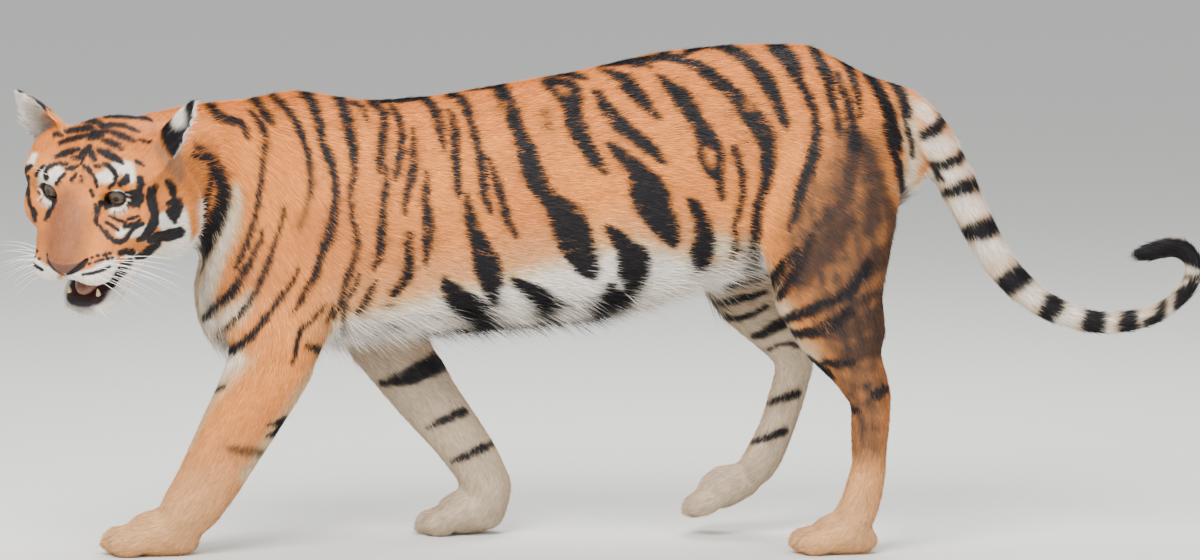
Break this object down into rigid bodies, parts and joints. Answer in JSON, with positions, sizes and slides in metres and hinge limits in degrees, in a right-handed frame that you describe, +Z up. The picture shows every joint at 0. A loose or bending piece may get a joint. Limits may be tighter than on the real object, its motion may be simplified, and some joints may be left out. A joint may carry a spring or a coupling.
{
  "type": "bengal tiger",
  "caption": "Life-size standing model of a bengal tiger in a slow walk, head turned to its left, mouth a little open, tail hanging and curled up at the tip.",
  "frame": {"origin": "centre of the bounding box's footprint, on the floor the paws stand on", "axes": "-X is the way the body walks, from tail to chest; +Z is up; the animal's left side faces -Y"},
  "size_m": [2.2431, 0.5851, 0.9573],
  "materials": {
    "coat": "short orange fur with black stripes",
    "pale_coat": "short white fur",
    "eye": "wet gloss",
    "tongue": "moist",
    "tooth": "ivory gloss"
  },
  "bodies": {
    "root": {"head": "coat", "lower_jaw": "pale_coat", "ear_left": "coat", "ear_right": "coat", "eye_left": "eye", "eye_right": "eye", "tongue": "tongue", "lower_canine_left": "tooth", "lower_canine_right": "tooth", "neck": "coat", "forequarters": "coat", "barrel": "coat", "hindquarters": "coat", "tail_root": "coat", "tail_middle": "coat", "tail_end": "coat", "foreleg_left": "coat", "foreleg_right": "coat", "fore_paw_left": "coat", "fore_paw_right": "coat", "shank_left": "coat", "shank_right": "coat", "hock_left": "coat", "hock_right": "coat", "hind_paw_left": "coat", "hind_paw_right": "coat"}
  },
  "joints": []
}
